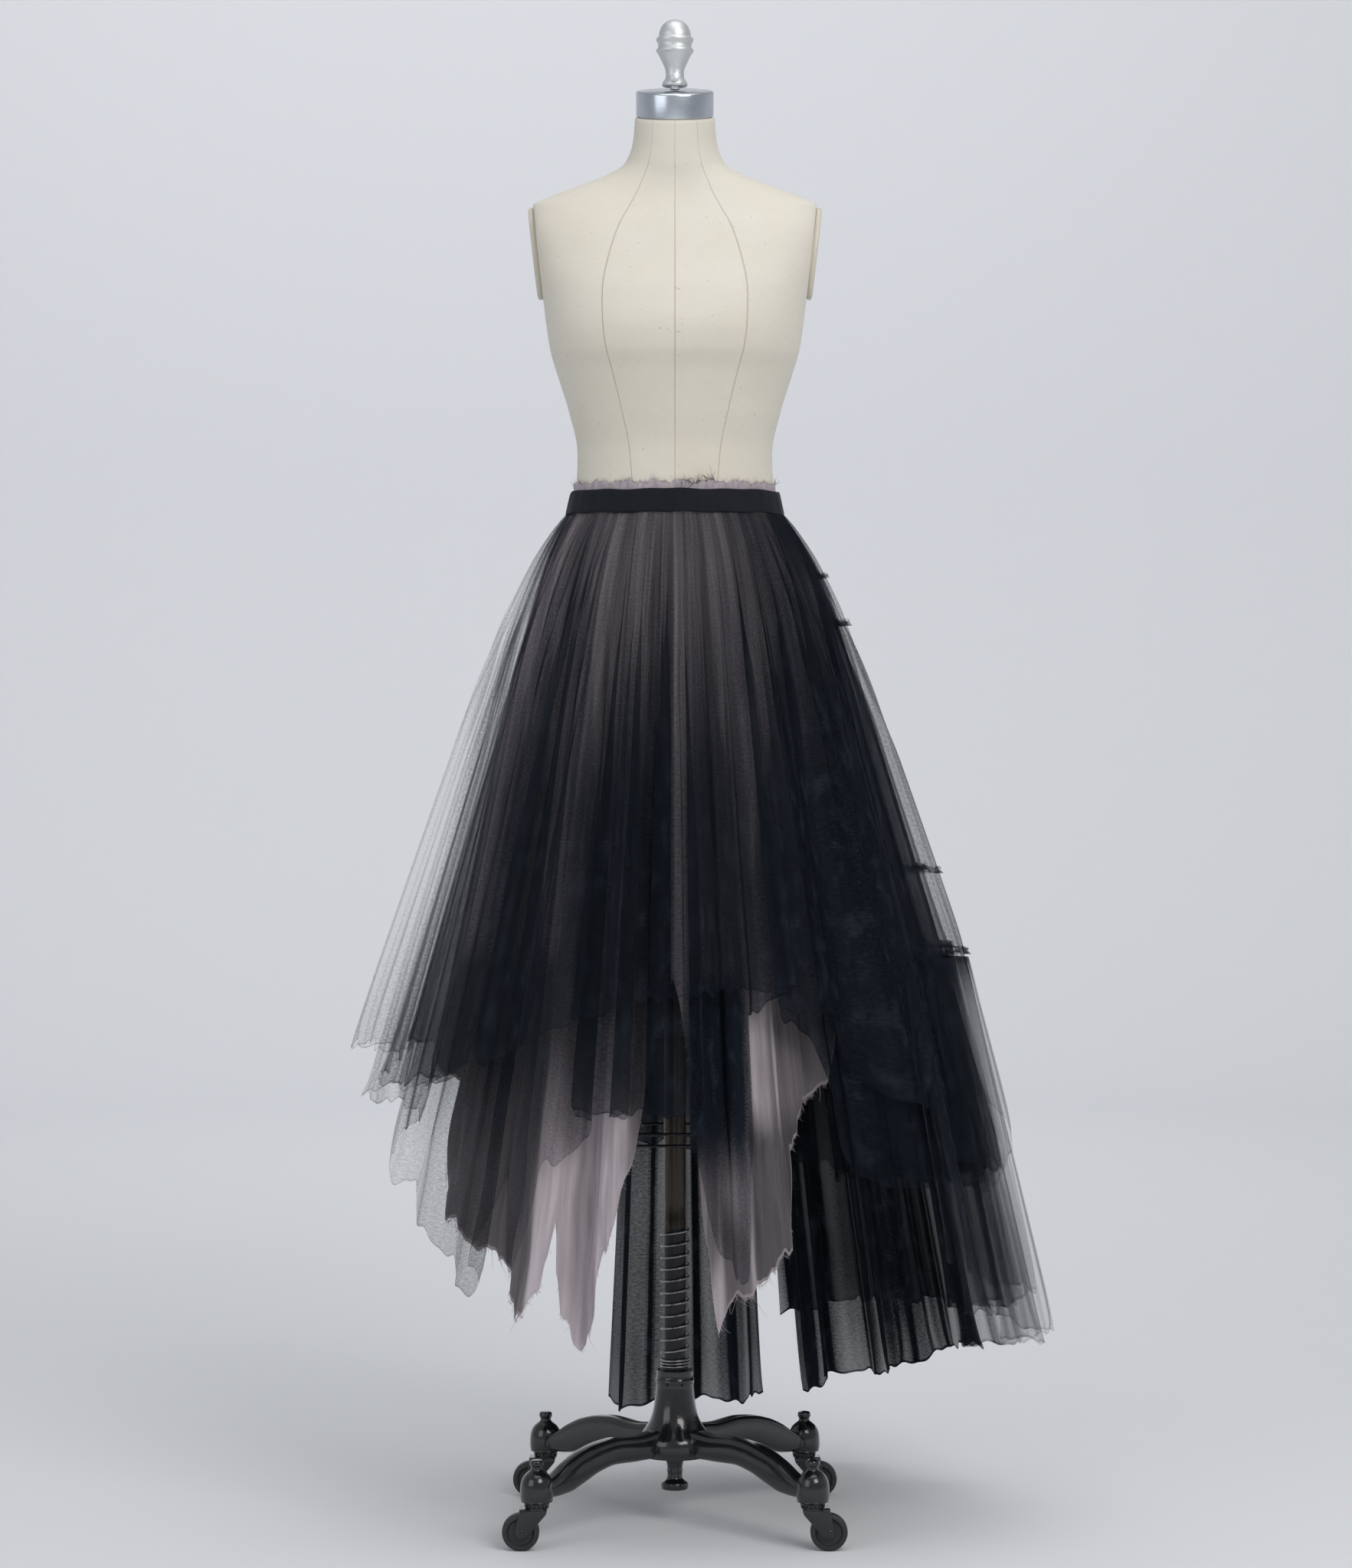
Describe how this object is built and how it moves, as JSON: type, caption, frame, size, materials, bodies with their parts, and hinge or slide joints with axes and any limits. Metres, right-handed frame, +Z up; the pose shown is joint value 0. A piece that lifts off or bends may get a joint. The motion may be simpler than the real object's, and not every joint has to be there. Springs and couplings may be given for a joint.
{
  "type": "tulle skirt on a dress form",
  "caption": "Layered net skirt with a satin underskirt, an uneven pointed hem and a lower tier at one side, worn on a limbless torso form on a sprung pole and a rolling cast base.",
  "frame": {"origin": "middle of the whole object's footprint, on the floor", "axes": "+Z up, -Y the wearer's front, +X the viewer's right as one looks at the front"},
  "size_m": [0.8482, 0.6622, 1.8222],
  "materials": {
    "linen": "cream linen over a papier-mache form",
    "arm_plate": "off-white enamelled plate",
    "cap_steel": "brushed chrome",
    "finial_silver": "silver paint over a casting",
    "cage_black": "dark wire",
    "pole_dark": "black enamel",
    "pole_bronze": "dark bronze lacquer",
    "spring_black": "glossy black enamel",
    "base_iron": "black enamel over rough casting",
    "fork_black": "black enamel",
    "caster_tyre": "hard black rubber",
    "band_black": "black twill ribbon",
    "lining_mauve": "mauve-grey satin",
    "tulle_black": "black silk tulle"
  },
  "bodies": {
    "form": {"arm_plate_left": "arm_plate", "arm_plate_right": "arm_plate", "back_train": "tulle_black", "base_casting": "base_iron", "cage": "cage_black", "finial": "finial_silver", "lining_edge": "lining_mauve", "lower_tier": "tulle_black", "lower_tier_inner": "tulle_black", "neck_cap": "cap_steel", "pole_lower": "pole_dark", "pole_upper": "pole_bronze", "seam_ruffle_1": "tulle_black", "seam_ruffle_2": "tulle_black", "seam_ruffle_3": "tulle_black", "seam_ruffle_4": "tulle_black", "spindle_foot": "base_iron", "spring": "spring_black", "tier_overlay": "tulle_black", "torso": "linen", "tulle_over_back": "tulle_black", "tulle_over_front": "tulle_black", "tulle_under_back": "tulle_black", "tulle_under_front": "tulle_black", "underskirt_back": "lining_mauve", "underskirt_front": "lining_mauve", "waistband": "band_black"},
    "caster_front_left": {"fork_front_left": "fork_black"},
    "roller_front_left": {"wheel_front_left": "caster_tyre"},
    "caster_front_right": {"fork_front_right": "fork_black"},
    "roller_front_right": {"wheel_front_right": "caster_tyre"},
    "caster_rear_left": {"fork_rear_left": "fork_black"},
    "roller_rear_left": {"wheel_rear_left": "caster_tyre"},
    "caster_rear_right": {"fork_rear_right": "fork_black"},
    "roller_rear_right": {"wheel_rear_right": "caster_tyre"}
  },
  "joints": [
    {"name": "swivel_front_left", "type": "hinge", "parent": "form", "child": "caster_front_left", "pos_m": [-0.19327, -0.21776, 0.05], "axis": [0, 0, 1], "continuous": true},
    {"name": "roll_front_left", "type": "hinge", "parent": "caster_front_left", "child": "roller_front_left", "pos_m": [-0.21227, -0.21776, 0.022], "axis": [0, 1, 0], "continuous": true},
    {"name": "swivel_front_right", "type": "hinge", "parent": "form", "child": "caster_front_right", "pos_m": [0.132, -0.21776, 0.05], "axis": [0, 0, 1], "continuous": true},
    {"name": "roll_front_right", "type": "hinge", "parent": "caster_front_right", "child": "roller_front_right", "pos_m": [0.151, -0.21776, 0.022], "axis": [0, 1, 0], "continuous": true},
    {"name": "swivel_rear_left", "type": "hinge", "parent": "form", "child": "caster_rear_left", "pos_m": [-0.19327, 0.10751, 0.05], "axis": [0, 0, 1], "continuous": true},
    {"name": "roll_rear_left", "type": "hinge", "parent": "caster_rear_left", "child": "roller_rear_left", "pos_m": [-0.21227, 0.10751, 0.022], "axis": [0, 1, 0], "continuous": true},
    {"name": "swivel_rear_right", "type": "hinge", "parent": "form", "child": "caster_rear_right", "pos_m": [0.132, 0.10751, 0.05], "axis": [0, 0, 1], "continuous": true},
    {"name": "roll_rear_right", "type": "hinge", "parent": "caster_rear_right", "child": "roller_rear_right", "pos_m": [0.151, 0.10751, 0.022], "axis": [0, 1, 0], "continuous": true}
  ]
}
